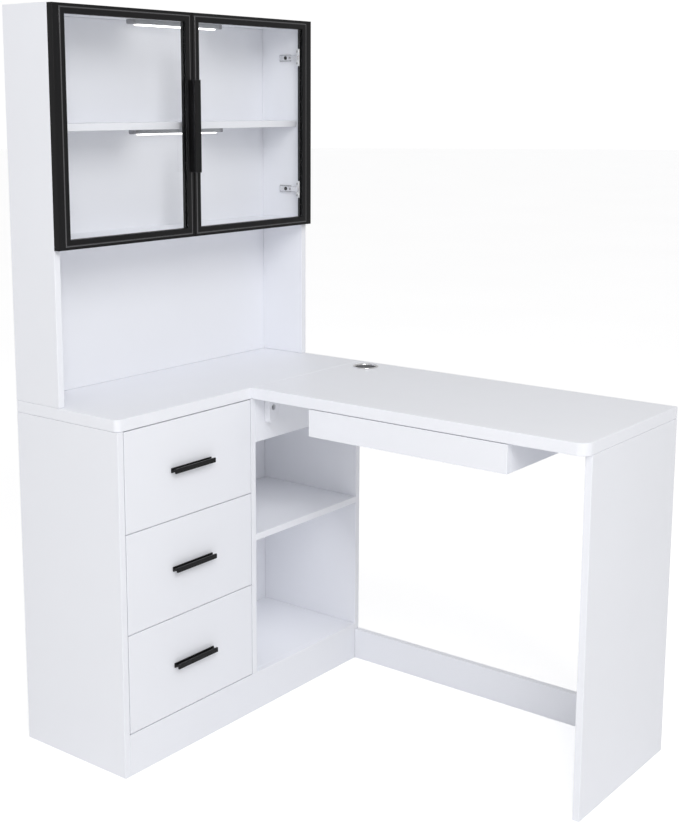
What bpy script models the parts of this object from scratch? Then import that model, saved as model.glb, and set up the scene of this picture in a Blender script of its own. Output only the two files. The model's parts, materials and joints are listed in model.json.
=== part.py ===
"""Corner desk: a drawer cabinet with a glass-door hutch, and a desk that reaches out in front of it.

Metres, +Z up. The origin is on the floor, in the middle of the overall plan.
The cabinet runs along X and its fronts face -Y. The desk reaches towards -Y at the cabinet's +X end.
"""

from math import cos, pi, sin

import bmesh
import bpy

# Overall sizes
CABINET_WIDTH = 0.800
CABINET_DEPTH = 0.300
DESK_HEIGHT = 0.750
DESK_REACH = 0.800
DESK_DEPTH = 0.400
TOTAL_HEIGHT = 1.550

# Boards
TOP_BOARD = 0.025
PANEL = 0.015
BACK_PANEL = 0.005
BACK_INSET = 0.005
EDGE = 0.0008
GAP = 0.0003

# Base cabinet
DIVIDER_FROM_DESK = 0.0025
PLINTH_HEIGHT = 0.090
RAIL_HEIGHT = 0.100
SHELF_TOP = 0.415
CABINET_CORNER = 0.012

# Desk
DESK_CORNER = 0.024
LEG_SETBACK = 0.0235
STRETCHER_HEIGHT = 0.075
GROMMET_SLEEVE = 0.0265
GROMMET_RIM = 0.0035
GROMMET_WALL = 0.002
GROMMET_FLANGE = 0.002
GROMMET_LENGTH = 0.022
GROMMET_FROM_EDGE = 0.055

# Corner block between the rail and the desktop
BLOCK_WIDTH = 0.036
BLOCK_HEIGHT = 0.061
BLOCK_THICKNESS = 0.015
BLOCK_FROM_DIVIDER = 0.030
BLOCK_SMALL_RADIUS = 0.008
BLOCK_STRAIGHT = 0.018
BLOCK_HOLE = 0.0065
BLOCK_HOLE_FROM_TOP = 0.0265
BLOCK_HOLE_FROM_SIDE = 0.0145

# Cabinet drawers
DRAWERS = 3
FRONT_GAP = 0.002
BOX_BOARD = 0.012
BOX_BOTTOM = 0.004
BOX_HEIGHT = 0.140
BOX_FROM_BACK = 0.0197
BOX_RISE = 0.025
BOTTOM_RISE = 0.010
RUNNER_WIDTH = 0.0125
RUNNER_HEIGHT = 0.040
RUNNER_SHORTER = 0.005
RUNNER_RISE = 0.050
RUNNER_WALL = 0.0015
RUNNER_LIP = 0.006

# Bar handles, an extruded section with a groove on either side
BAR_BASE = 0.003
BAR_WEB = 0.003
BAR_FRONT = 0.004
DRAWER_BAR_LENGTH = 0.120
DRAWER_BAR_HEIGHT = 0.010
DRAWER_BAR_REACH = 0.015
DOOR_BAR_LENGTH = 0.197
DOOR_BAR_WIDTH = 0.018
DOOR_BAR_REACH = 0.024
DOOR_BAR_LOW = 0.1405

# Pencil drawer under the desktop
PENCIL_HEIGHT = 0.0585
PENCIL_UNDER_TOP = 0.0015
PENCIL_FROM_CABINET = 0.158
PENCIL_WIDTH = 0.478
PENCIL_DEPTH = 0.280
PENCIL_BACK_HEIGHT = 0.024
PENCIL_BOTTOM_RISE = 0.004
PENCIL_RUNNER_HEIGHT = 0.030
PENCIL_RUNNER_FROM_FRONT = 0.012
PENCIL_RUNNER_FROM_END = 0.0127

# Hutch
HUTCH_DEPTH = 0.132
CUPBOARD_HEIGHT = 0.480
HUTCH_SHELF_TOP = 0.233
HUTCH_SHELF_SETBACK = 0.017

# Glass doors
DOOR_THICKNESS = 0.016
DOOR_TOP_REVEAL = 0.001
DOOR_JOINT = 0.3905
DOOR_GAP = 0.002
FRAME_WIDTH = 0.0195
HINGE_STILE = 0.031
PANE = 0.004
PANE_FROM_FRONT = 0.0045
PANE_SEAT = 0.0035

# Concealed hinges
HINGE_FROM_END = 0.084
ARM_HEIGHT = 0.016
ARM_LENGTH = 0.061
ARM_SETBACK = 0.006
ARM_BODY = 0.009
ARM_NECK = 0.0125
ARM_NECK_LENGTH = 0.012
CUP_HEIGHT = 0.040
CUP_THICKNESS = 0.0015
CUP_DEPTH = 0.0095
CUP_FROM_PANE = 0.001

# Light bars
LIGHT_LENGTH = 0.283
LIGHT_WIDTH = 0.020
LIGHT_HEIGHT = 0.010
LIGHT_FROM_LEFT = 0.300
LIGHT_FROM_BACK = 0.030
LENS_MARGIN = 0.020
LENS_HEIGHT = 0.0025
LENS_SIDE = 0.002

# Places worked out from the sizes above
LEFT = -CABINET_WIDTH / 2
RIGHT = CABINET_WIDTH / 2
DESK_END = -(DESK_REACH + CABINET_DEPTH) / 2
FRONT = DESK_END + DESK_REACH
BACK = FRONT + CABINET_DEPTH
TOP_UNDER = DESK_HEIGHT - TOP_BOARD
BACK_FACE = BACK - BACK_INSET - BACK_PANEL
DESK_LEFT = RIGHT - DESK_DEPTH
DIVIDER = DESK_LEFT - DIVIDER_FROM_DESK
HUTCH_FRONT = BACK - HUTCH_DEPTH
DOOR_BACK = HUTCH_FRONT - GAP
DOOR_FRONT = HUTCH_FRONT - DOOR_THICKNESS
CUPBOARD_LOW = TOTAL_HEIGHT - CUPBOARD_HEIGHT
DOOR_LOW = CUPBOARD_LOW
DOOR_TOP = TOTAL_HEIGHT - DOOR_TOP_REVEAL
INSIDE_LEFT = LEFT + PANEL + GAP
INSIDE_RIGHT = RIGHT - PANEL - GAP
SHORT = 2 * GAP


def material(name, colour, roughness, metallic=0.0, alpha=1.0, glow=0.0):
    made = bpy.data.materials.new(name)
    made.use_nodes = True
    shader = made.node_tree.nodes["Principled BSDF"]
    shader.inputs["Base Color"].default_value = (*colour, 1.0)
    shader.inputs["Roughness"].default_value = roughness
    shader.inputs["Metallic"].default_value = metallic
    shader.inputs["Alpha"].default_value = alpha
    shader.inputs["Emission Color"].default_value = (*colour, 1.0)
    shader.inputs["Emission Strength"].default_value = glow
    made.diffuse_color = (*colour, alpha)
    return made


def finished(name, mesh, place, look, parent, edge):
    """The named object for a mesh built round the point place, with its edges eased."""
    obj = bpy.data.objects.new(name, mesh)
    bpy.context.scene.collection.objects.link(obj)
    home = parent.location if parent else (0.0, 0.0, 0.0)
    obj.parent = parent
    obj.location = [at - origin for at, origin in zip(place, home)]
    mesh.materials.append(look)
    if edge:
        ease = obj.modifiers.new("eased edges", "BEVEL")
        ease.width = edge
        ease.segments = 1
        ease.limit_method = "ANGLE"
    return obj


def mesh_of(shape, name):
    bmesh.ops.recalc_face_normals(shape, faces=shape.faces)
    mesh = bpy.data.meshes.new(name)
    shape.to_mesh(mesh)
    shape.free()
    return mesh


def board(name, x, y, z, look, parent=None, edge=EDGE):
    """A rectangular board between two values on each axis."""
    place = [(low + high) / 2 for low, high in (x, y, z)]
    size = [high - low for low, high in (x, y, z)]
    shape = bmesh.new()
    bmesh.ops.create_cube(shape, size=1.0)
    bmesh.ops.scale(shape, vec=size, verts=shape.verts)
    return finished(name, mesh_of(shape, name), place, look, parent, edge)


def prism(name, outline, axis, low, high, look, parent=None, edge=0.0):
    """An outline extruded along an axis. The outline's two values are the other two axes, in XYZ order."""
    centre_u = sum(u for u, _ in outline) / len(outline)
    centre_v = sum(v for _, v in outline) / len(outline)
    middle = (low + high) / 2

    def point(u, v, along):
        place = [u, v]
        place.insert("xyz".index(axis), along)
        return place

    shape = bmesh.new()
    ends = []
    for along in (low - middle, high - middle):
        ring = [shape.verts.new(point(u - centre_u, v - centre_v, along)) for u, v in outline]
        ends.append(ring)
        shape.faces.new(ring)
    for index, vert in enumerate(ends[0]):
        after = (index + 1) % len(outline)
        shape.faces.new((vert, ends[0][after], ends[1][after], ends[1][index]))
    place = point(centre_u, centre_v, middle)
    return finished(name, mesh_of(shape, name), place, look, parent, edge)


def arc(u, v, radius_u, radius_v, start, end, steps):
    """Points of an elliptical arc round (u, v), from one angle to another in degrees."""
    angles = [(start + (end - start) * step / steps) * pi / 180 for step in range(steps + 1)]
    return [(u + radius_u * cos(angle), v + radius_v * sin(angle)) for angle in angles]


def cut(obj, cutter):
    cutter.hide_render = True
    cutter.display_type = "WIRE"
    hole = obj.modifiers.new("cut by " + cutter.name, "BOOLEAN")
    hole.operation = "DIFFERENCE"
    hole.object = cutter


def cylinder(name, radius, centre, axis, length, look, steps=32):
    """A round cutter through the point centre."""
    plan = [value for index, value in enumerate(centre) if index != "xyz".index(axis)]
    along = centre["xyz".index(axis)]
    outline = arc(plan[0], plan[1], radius, radius, 0, 360 * (steps - 1) / steps, steps - 1)
    return prism(name, outline, axis, along - length / 2, along + length / 2, look)


def pivot(name, place):
    """An empty on a joint's axis, which carries what moves with it."""
    empty = bpy.data.objects.new(name, None)
    bpy.context.scene.collection.objects.link(empty)
    empty.location = place
    return empty


def bar_section(width, reach):
    """Half-open H of a bar handle: base flange, web and front flange, from the face it stands on outwards."""
    half = width / 2
    web = BAR_WEB / 2
    neck = reach - BAR_FRONT
    right = [(half, 0.0), (half, BAR_BASE), (web, BAR_BASE), (web, neck), (half, neck), (half, reach)]
    return right + [(-u, v) for u, v in reversed(right)]


def channel(width, height, wall, lip):
    """C section of a runner, its back at 0 and its open side at width, centred on its height."""
    half = height / 2
    inner = half - wall
    upper = [(0.0, half), (width, half), (width, half - lip), (width - wall, half - lip)]
    upper += [(width - wall, inner), (wall, inner)]
    return upper + [(u, -v) for u, v in reversed(upper)]


def base_cabinet(white):
    body = (FRONT, BACK)
    inside = (FRONT, BACK_FACE - GAP)
    upright = (0.0, TOP_UNDER - GAP)
    behind_plinth = (FRONT + PANEL + GAP, BACK_FACE - GAP)
    floor_top = PLINTH_HEIGHT - GAP
    bay_right = DIVIDER + PANEL + GAP
    board("base_left_panel", (LEFT, LEFT + PANEL), body, upright, white)
    board("base_right_panel", (RIGHT - PANEL, RIGHT), body, upright, white)
    board("base_plinth", (INSIDE_LEFT, INSIDE_RIGHT), (FRONT, FRONT + PANEL), (0.0, PLINTH_HEIGHT - GAP), white)
    board("base_bottom", (INSIDE_LEFT, INSIDE_RIGHT), behind_plinth, (floor_top - PANEL, floor_top), white)
    board("base_divider", (DIVIDER, DIVIDER + PANEL), inside, (PLINTH_HEIGHT, TOP_UNDER - GAP), white)
    back_low = floor_top - PANEL
    board("base_back", (INSIDE_LEFT, INSIDE_RIGHT), (BACK_FACE, BACK_FACE + BACK_PANEL),
          (back_low, TOP_UNDER - GAP), white, edge=0.0)
    board("base_shelf", (bay_right, INSIDE_RIGHT), inside, (SHELF_TOP - PANEL, SHELF_TOP), white)
    board("base_rail", (bay_right, INSIDE_RIGHT), (FRONT, FRONT + PANEL),
          (TOP_UNDER - RAIL_HEIGHT, TOP_UNDER - GAP), white)
    radius = CABINET_CORNER
    outline = arc(LEFT + radius, FRONT + radius, radius, radius, 180, 270, 6)
    outline += [(RIGHT, FRONT), (RIGHT, BACK), (LEFT, BACK)]
    prism("base_top", outline, "z", TOP_UNDER, DESK_HEIGHT, white, edge=EDGE)


def corner_block(plastic):
    """Block on the rail's face, under the desktop: straight on its left, swept away at its lower right."""
    left = DIVIDER + PANEL + BLOCK_FROM_DIVIDER
    top = TOP_UNDER - GAP
    low = top - BLOCK_HEIGHT
    small = BLOCK_SMALL_RADIUS
    sweep_u = BLOCK_WIDTH - small
    sweep_v = BLOCK_HEIGHT - BLOCK_STRAIGHT
    outline = [(left, top)]
    outline += arc(left + small, low + small, small, small, 180, 270, 4)
    outline += arc(left + small, low + sweep_v, sweep_u, sweep_v, 270, 360, 8)[1:]
    outline += [(left + BLOCK_WIDTH, top)]
    face = FRONT - GAP
    block = prism("rail_bracket", outline, "y", face - BLOCK_THICKNESS, face, plastic)
    screw_at = (left + BLOCK_HOLE_FROM_SIDE, face - BLOCK_THICKNESS / 2, top - BLOCK_HOLE_FROM_TOP)
    cut(block, cylinder("bracket_hole", BLOCK_HOLE, screw_at, "y", 3 * BLOCK_THICKNESS, plastic, 20))


def desk(white, chrome):
    seam = FRONT - GAP
    radius = DESK_CORNER
    outline = arc(DESK_LEFT + radius, DESK_END + radius, radius, radius, 180, 270, 8)
    outline += [(RIGHT, DESK_END), (RIGHT, seam), (DESK_LEFT, seam)]
    top = prism("desktop", outline, "z", TOP_UNDER, DESK_HEIGHT, white, edge=EDGE)
    grommet = (RIGHT - GROMMET_FROM_EDGE, FRONT - GROMMET_FROM_EDGE, DESK_HEIGHT - TOP_BOARD / 2)
    cut(top, cylinder("grommet_hole", GROMMET_SLEEVE + GAP, grommet, "z", 2 * TOP_BOARD, white))
    leg_left = DESK_LEFT + LEG_SETBACK
    board("leg_panel", (leg_left, RIGHT), (DESK_END, DESK_END + PANEL), (0.0, TOP_UNDER - GAP), white)
    board("stretcher", (RIGHT - PANEL, RIGHT), (DESK_END + PANEL + GAP, seam), (0.0, STRETCHER_HEIGHT), white)

    top_face = GROMMET_FLANGE + GAP
    bore = GROMMET_SLEEVE - GROMMET_WALL
    rim = GROMMET_SLEEVE + GROMMET_RIM
    profile = [(bore, top_face), (rim, top_face), (rim, GAP), (GROMMET_SLEEVE, GAP)]
    profile += [(GROMMET_SLEEVE, top_face - GROMMET_LENGTH), (bore, top_face - GROMMET_LENGTH)]
    shape = bmesh.new()
    ring = [shape.verts.new((radius, 0.0, height)) for radius, height in profile]
    edges = [shape.edges.new((ring[index - 1], ring[index])) for index in range(len(ring))]
    bmesh.ops.spin(shape, geom=ring + edges, axis=(0, 0, 1), cent=(0, 0, 0), steps=32, angle=2 * pi,
                   use_merge=True)
    place = (grommet[0], grommet[1], DESK_HEIGHT)
    collar = finished("grommet_ring", mesh_of(shape, "grommet_ring"), place, chrome, None, 0.0)
    collar.data.shade_smooth()
    collar.data.set_sharp_from_angle(angle=pi / 6)


def bar_handle(name, centre, width, length, reach, along, look, parent):
    """A bar of constant section standing on a front, its length along z or x."""
    section = bar_section(width, reach)
    if along == "z":
        outline = [(centre[0] + u, centre[1] - v) for u, v in section]
        middle = centre[2]
    else:
        outline = [(centre[1] - v, centre[2] + u) for u, v in section]
        middle = centre[0]
    prism(name, outline, along, middle - length / 2, middle + length / 2, look, parent)


def runner(name, back_at, open_side, axis, start, end, height, look):
    """A channel against the face at back_at, open towards open_side, +1 or -1 on the axis across it."""
    section = channel(RUNNER_WIDTH - SHORT, RUNNER_HEIGHT if axis == "y" else PENCIL_RUNNER_HEIGHT,
                      RUNNER_WALL, RUNNER_LIP)
    outline = [(back_at + open_side * (GAP + u), height + v) for u, v in section]
    prism(name, outline, axis, start, end, look)


def cabinet_drawer(number, looks):
    """One inset drawer with its two cabinet runners, numbered from the top."""
    opening = TOP_UNDER - PLINTH_HEIGHT
    height = (opening - (DRAWERS + 1) * FRONT_GAP) / DRAWERS
    high = TOP_UNDER - FRONT_GAP - (number - 1) * (height + FRONT_GAP)
    low = high - height
    bay = (LEFT + PANEL, DIVIDER)
    middle = (bay[0] + bay[1]) / 2
    slide = pivot(f"drawer_{number}_slide", (middle, FRONT, (low + high) / 2))
    name = f"drawer_{number}_"
    board(name + "front", (bay[0] + FRONT_GAP, bay[1] - FRONT_GAP), (FRONT, FRONT + PANEL), (low, high),
          looks["white"], slide)

    left, right = bay[0] + RUNNER_WIDTH, bay[1] - RUNNER_WIDTH
    start = FRONT + PANEL + GAP
    end = BACK_FACE - BOX_FROM_BACK
    box_low = low + BOX_RISE
    inner_left, inner_right, inner_end = left + BOX_BOARD, right - BOX_BOARD, end - BOX_BOARD
    outline = [(left, start), (inner_left, start), (inner_left, inner_end), (inner_right, inner_end)]
    outline += [(inner_right, start), (right, start), (right, end), (left, end)]
    prism(name + "box", outline, "z", box_low, box_low + BOX_HEIGHT, looks["box"], slide)
    board(name + "bottom", (inner_left + GAP, inner_right - GAP), (start, inner_end - GAP),
          (box_low + BOTTOM_RISE, box_low + BOTTOM_RISE + BOX_BOTTOM), looks["box"], slide, 0.0)
    bar_handle(name + "handle", (middle, FRONT - GAP, (low + high) / 2), DRAWER_BAR_HEIGHT, DRAWER_BAR_LENGTH,
               DRAWER_BAR_REACH, "x", looks["black"], slide)

    height = box_low + RUNNER_RISE + RUNNER_HEIGHT / 2
    last = end - RUNNER_SHORTER
    runner(f"runner_{number}_left", bay[0], 1, "y", start, last, height, looks["steel"])
    runner(f"runner_{number}_right", bay[1], -1, "y", start, last, height, looks["steel"])


def pencil_drawer(looks):
    """Shallow drawer under the desktop. Its runners hang from the desktop, just inside its sides."""
    high = TOP_UNDER - PENCIL_UNDER_TOP
    low = high - PENCIL_HEIGHT
    near = FRONT - PENCIL_FROM_CABINET - PENCIL_WIDTH
    far = near + PENCIL_WIDTH
    slide = pivot("pencil_slide", (DESK_LEFT, (near + far) / 2, (low + high) / 2))
    board("pencil_front", (DESK_LEFT, DESK_LEFT + PANEL), (near, far), (low, high), looks["white"], slide)

    start = DESK_LEFT + PANEL + GAP
    end = DESK_LEFT + PENCIL_DEPTH
    inner_near, inner_far, inner_end = near + BOX_BOARD, far - BOX_BOARD, end - BOX_BOARD
    outline = [(start, near), (end, near), (end, far), (start, far), (start, inner_far)]
    outline += [(inner_end, inner_far), (inner_end, inner_near), (start, inner_near)]
    box = prism("pencil_box", outline, "z", low, high, looks["white"], slide)
    lowered = low + PENCIL_BACK_HEIGHT
    notch = board("pencil_notch", (inner_end - PANEL, end + PANEL), (inner_near, inner_far),
                  (lowered, high + PANEL), looks["white"], slide, 0.0)
    cut(box, notch)
    floor = low + PENCIL_BOTTOM_RISE
    board("pencil_bottom", (start, inner_end - GAP), (inner_near + GAP, inner_far - GAP),
          (floor, floor + BOX_BOTTOM), looks["white"], slide, 0.0)

    height = TOP_UNDER - GAP - PENCIL_RUNNER_HEIGHT / 2
    first = start + PENCIL_RUNNER_FROM_FRONT
    last = end - PENCIL_RUNNER_FROM_END
    for side, back_at, facing in (("near", inner_near, 1), ("far", inner_far, -1)):
        runner("pencil_runner_" + side, back_at, facing, "x", first, last, height, looks["steel"])


def light_bar(level, under, look, glow):
    """A lamp under a board, with its diffuser below."""
    left = LEFT + LIGHT_FROM_LEFT
    back = BACK_FACE - LIGHT_FROM_BACK
    x = (left, left + LIGHT_LENGTH)
    y = (back - LIGHT_WIDTH, back)
    high = under - GAP
    low = high - LIGHT_HEIGHT
    board("light_bar_" + level, x, y, (low, high), look)
    board("light_lens_" + level, (x[0] + LENS_MARGIN, x[1] - LENS_MARGIN), (y[0] + LENS_SIDE, y[1] - LENS_SIDE),
          (low - GAP - LENS_HEIGHT, low - GAP), glow, edge=0.0)


def hutch(looks):
    white = looks["white"]
    foot = DESK_HEIGHT + GAP
    body = (HUTCH_FRONT, BACK)
    inside = (HUTCH_FRONT, BACK_FACE - GAP)
    across = (INSIDE_LEFT, INSIDE_RIGHT)
    board("hutch_left_panel", (LEFT, LEFT + PANEL), body, (foot, TOTAL_HEIGHT), white)
    board("hutch_right_panel", (RIGHT - PANEL, RIGHT), body, (foot, TOTAL_HEIGHT), white)
    board("hutch_top", across, body, (TOTAL_HEIGHT - PANEL, TOTAL_HEIGHT), white)
    board("hutch_back", across, (BACK_FACE, BACK_FACE + BACK_PANEL), (foot, TOTAL_HEIGHT - PANEL - GAP), white,
          edge=0.0)
    board("cupboard_bottom", across, inside, (CUPBOARD_LOW, CUPBOARD_LOW + PANEL), white)
    shelf_top = CUPBOARD_LOW + PANEL + HUTCH_SHELF_TOP - GAP
    board("hutch_shelf", across, (HUTCH_FRONT + HUTCH_SHELF_SETBACK, BACK_FACE - GAP),
          (shelf_top - PANEL, shelf_top), white)
    light_bar("upper", TOTAL_HEIGHT - PANEL, looks["lamp"], looks["glow"])
    light_bar("lower", shelf_top - PANEL, looks["lamp"], looks["glow"])


def framed_ring(name, outer, inner, look, parent):
    """A door frame with a groove in its inner walls for the pane. outer and inner hold low and high x and z."""
    groove_front = DOOR_FRONT + PANE_FROM_FRONT - GAP
    groove_back = DOOR_FRONT + PANE_FROM_FRONT + PANE + GAP
    seat = PANE_SEAT + GAP
    groove = (inner[0] - seat, inner[1] + seat, inner[2] - seat, inner[3] + seat)
    section = [(outer, DOOR_FRONT), (inner, DOOR_FRONT), (inner, groove_front), (groove, groove_front)]
    section += [(groove, groove_back), (inner, groove_back), (inner, DOOR_BACK), (outer, DOOR_BACK)]
    place = ((outer[0] + outer[1]) / 2, (DOOR_FRONT + DOOR_BACK) / 2, (outer[2] + outer[3]) / 2)
    shape = bmesh.new()
    loops = []
    for (left, right, low, high), depth in section:
        corners = ((left, low), (right, low), (right, high), (left, high))
        loops.append([shape.verts.new((x - place[0], depth - place[1], z - place[2])) for x, z in corners])
    for index, loop in enumerate(loops):
        before = loops[index - 1]
        for side in range(4):
            after = (side + 1) % 4
            shape.faces.new((before[side], before[after], loop[after], loop[side]))
    return finished(name, mesh_of(shape, name), place, look, parent, 0.0)


def door(side, looks):
    """One glass door on its hinge axis, at the outer back corner of the frame."""
    sign = -1 if side == "left" else 1
    joint = LEFT + DOOR_JOINT
    meeting = joint + sign * DOOR_GAP / 2
    hinge_edge = LEFT if side == "left" else RIGHT
    swing = pivot(f"door_{side}_swing", (hinge_edge, DOOR_BACK, (DOOR_LOW + DOOR_TOP) / 2))
    outer_x = sorted((meeting, hinge_edge))
    hinge_wall = hinge_edge - sign * HINGE_STILE
    inner_x = sorted((meeting + sign * FRAME_WIDTH, hinge_wall))
    outer = (*outer_x, DOOR_LOW, DOOR_TOP)
    inner = (*inner_x, DOOR_LOW + FRAME_WIDTH, DOOR_TOP - FRAME_WIDTH)
    framed_ring(f"door_{side}_frame", outer, inner, looks["black"], swing)
    pane_front = DOOR_FRONT + PANE_FROM_FRONT
    board(f"door_{side}_glass", (inner[0] - PANE_SEAT, inner[1] + PANE_SEAT), (pane_front, pane_front + PANE),
          (inner[2] - PANE_SEAT, inner[3] + PANE_SEAT), looks["glass"], swing, 0.0)
    if side == "left":
        centre_x = meeting + sign * FRAME_WIDTH / 2
        centre_z = DOOR_LOW + DOOR_BAR_LOW + DOOR_BAR_LENGTH / 2
        bar_handle("door_left_handle", (centre_x, DOOR_FRONT - GAP, centre_z), DOOR_BAR_WIDTH, DOOR_BAR_LENGTH,
                   DOOR_BAR_REACH - GAP, "z", looks["black"], swing)
    for level, height in (("lower", DOOR_LOW + HINGE_FROM_END), ("upper", DOOR_TOP - HINGE_FROM_END)):
        hinge(side, level, sign, hinge_wall, height, looks["chrome"], swing)


def hinge(side, level, sign, hinge_wall, height, look, swing):
    """The arm on the side panel, and the cup plate on the stile's inner wall. sign is +1 at the right."""
    panel_face = (RIGHT - PANEL) * sign
    root = panel_face - sign * GAP
    start = HUTCH_FRONT + ARM_SETBACK
    outline = [(root, start), (root, start + ARM_LENGTH), (root - sign * ARM_BODY, start + ARM_LENGTH)]
    outline += [(root - sign * ARM_BODY, start + ARM_NECK_LENGTH), (root - sign * ARM_NECK, start)]
    prism(f"hinge_arm_{side}_{level}", outline, "z", height - ARM_HEIGHT / 2, height + ARM_HEIGHT / 2, look,
          edge=EDGE)
    wall = hinge_wall - sign * GAP
    plate_x = sorted((wall, wall - sign * CUP_THICKNESS))
    cup_start = DOOR_FRONT + PANE_FROM_FRONT + PANE + CUP_FROM_PANE
    plate_y = (cup_start, cup_start + CUP_DEPTH)
    board(f"hinge_plate_{side}_{level}", plate_x, plate_y, (height - CUP_HEIGHT / 2, height + CUP_HEIGHT / 2),
          look, swing, 0.0)


def main():
    for obj in list(bpy.data.objects):
        bpy.data.objects.remove(obj)
    looks = {
        "white": material("white laminate", (0.80, 0.81, 0.84), 0.45),
        "box": material("drawer board", (0.72, 0.72, 0.73), 0.6),
        "black": material("black aluminium", (0.012, 0.012, 0.013), 0.35, 0.6),
        "glass": material("clear glass", (0.9, 0.95, 0.95), 0.02, alpha=0.15),
        "chrome": material("chrome", (0.75, 0.75, 0.76), 0.12, 1.0),
        "steel": material("zinc steel", (0.5, 0.5, 0.51), 0.35, 1.0),
        "plastic": material("white plastic", (0.7, 0.7, 0.73), 0.5),
        "lamp": material("lamp body", (0.45, 0.45, 0.47), 0.4, 0.5),
        "glow": material("lamp diffuser", (1.0, 0.99, 0.96), 0.4, glow=2.0),
    }
    base_cabinet(looks["white"])
    corner_block(looks["plastic"])
    desk(looks["white"], looks["chrome"])
    for number in range(1, DRAWERS + 1):
        cabinet_drawer(number, looks)
    pencil_drawer(looks)
    hutch(looks)
    door("left", looks)
    door("right", looks)


main()
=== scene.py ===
"""Finished pieces, materials, light and camera for a corner desk with a glass-door hutch.

It is laid out as an add-on and run as a script. Lengths are in metres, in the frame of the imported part.
"""

import json

import bmesh
import bpy
import numpy as np
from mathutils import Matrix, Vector


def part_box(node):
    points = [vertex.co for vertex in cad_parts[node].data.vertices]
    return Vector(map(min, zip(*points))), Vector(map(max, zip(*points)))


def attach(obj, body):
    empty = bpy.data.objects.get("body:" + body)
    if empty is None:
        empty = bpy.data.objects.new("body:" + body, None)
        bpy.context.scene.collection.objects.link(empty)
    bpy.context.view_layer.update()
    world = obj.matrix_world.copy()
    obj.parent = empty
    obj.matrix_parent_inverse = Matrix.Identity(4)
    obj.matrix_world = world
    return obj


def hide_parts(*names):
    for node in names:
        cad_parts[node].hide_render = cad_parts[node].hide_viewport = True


bl_info = {
    "name": "Corner desk",
    "version": (1, 0, 0),
    "blender": (4, 5, 0),
    "location": "3D View > Sidebar > Corner desk",
    "description": "Builds the finished pieces of a corner desk round its packed frame",
    "category": "Object",
}

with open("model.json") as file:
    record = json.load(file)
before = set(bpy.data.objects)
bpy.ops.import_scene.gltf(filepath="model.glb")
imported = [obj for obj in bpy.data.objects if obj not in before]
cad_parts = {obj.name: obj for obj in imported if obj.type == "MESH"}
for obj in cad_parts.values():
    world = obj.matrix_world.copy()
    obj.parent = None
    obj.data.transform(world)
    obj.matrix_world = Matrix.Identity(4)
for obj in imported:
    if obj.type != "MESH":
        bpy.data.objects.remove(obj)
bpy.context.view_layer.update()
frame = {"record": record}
BODY_OF = {node: body for body, nodes in frame["record"]["behaviour"]["bodies"].items() for node in nodes}
CARCASS = "desk_carcass"

HAIRLINE = 0.0003
SHARP = np.radians(50)
ARC_STEPS = 4
SQUARE = (0, 0, 0, 0)

# The chrome collar in the cable hole
COLLAR_RIM = 0.0035
COLLAR_WALL = 0.002
COLLAR_STEPS = 64

# The corner block under the desktop
BLOCK_SMALL_RADIUS = 0.008
BLOCK_STRAIGHT = 0.018
BLOCK_HOLE_FROM_SIDE = 0.0145
BLOCK_HOLE_FROM_TOP = 0.0265
BLOCK_HOLE = 0.0065
BLOCK_SCREW = 0.0058
BLOCK_SCREW_DEPTH = 0.0085

# Bar handles, runners and drawer boxes
BAR_HALF_WEB = 0.0015
BAR_BASE = 0.003
BAR_FRONT = 0.004
RUNNER_WALL = 0.0015
RUNNER_LIP = 0.006
RAIL_FROM_WALL = 0.0045
RAIL_HALF_HEIGHT = 0.008
BOX_BOARD = 0.012
BOX_EDGE = 0.0006
BOTTOM_EDGE = 0.0003
PENCIL_BACK_HEIGHT = 0.024

# Hinges
ARM_PLATE = 0.0022
ARM_PLATE_START = 0.026
ARM_RISE = 0.0026
ARM_TOP = 0.009
ARM_NOSE = 0.0122
ARM_HALF_HEIGHT = 0.0058
ARM_SCREWS = ((0.037, 0.0044, "dark_screw"), (0.024, 0.0030, "screw"))
CUP_BOSS = 0.0028
CUP_BOSS_FROM_END = 0.0015
KNUCKLE_REACH = 0.005
KNUCKLE_HALF_HEIGHT = 0.006

# Light bars
LAMP_CAP = 0.009
LAMP_CORNER = 0.003


# Surfaces

def box(node):
    """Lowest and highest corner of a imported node, as two arrays."""
    low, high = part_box(node)
    return np.array(low), np.array(high)


def arc(centre, radii, start, end, steps):
    """Points of an elliptical arc: centre plus (radius times cosine, radius times sine), angles in degrees."""
    angle = np.radians(np.linspace(start, end, steps + 1))
    return np.stack([centre[0] + radii[0] * np.cos(angle), centre[1] + radii[1] * np.sin(angle)], axis=-1)


def mesh_of(name, points, faces):
    """A closed mesh: equal points are made one, faces that collapse are dropped, and normals point out."""
    _, first, index = np.unique(np.round(points, 6), axis=0, return_index=True, return_inverse=True)
    index = index.reshape(-1)
    corners = [list(dict.fromkeys(index[list(face)].tolist())) for face in faces]
    mesh = bpy.data.meshes.new(name)
    mesh.from_pydata(np.asarray(points)[first], [], [face for face in corners if len(face) > 2])
    shape = bmesh.new()
    shape.from_mesh(mesh)
    bmesh.ops.recalc_face_normals(shape, faces=shape.faces)
    shape.to_mesh(mesh)
    shape.free()
    mesh.shade_smooth()
    mesh.set_sharp_from_angle(angle=SHARP)
    return mesh


def ring_quads(rows, columns, closed):
    """Corner numbers of the quads between neighbouring rings of a rows by columns grid of points."""
    grid = np.arange(rows * columns).reshape(rows, columns)
    beyond = np.roll(grid, -1, axis=0)
    quads = np.stack([grid, np.roll(grid, -1, 1), np.roll(beyond, -1, 1), beyond], axis=-1)
    kept = quads if closed else quads[:-1]
    return grid, kept.reshape(-1, 4).tolist()


def skin(name, rings, closed=False):
    """Surface through rings of points, shaped rows by columns by 3: each row is a loop, joined to the next.

    The first and last rows are capped, unless closed joins them to each other.
    """
    rings = np.asarray(rings, float)
    grid, faces = ring_quads(*rings.shape[:2], closed)
    if not closed:
        faces += [grid[0].tolist(), grid[-1].tolist()]
    return mesh_of(name, rings.reshape(-1, 3), faces)


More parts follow.
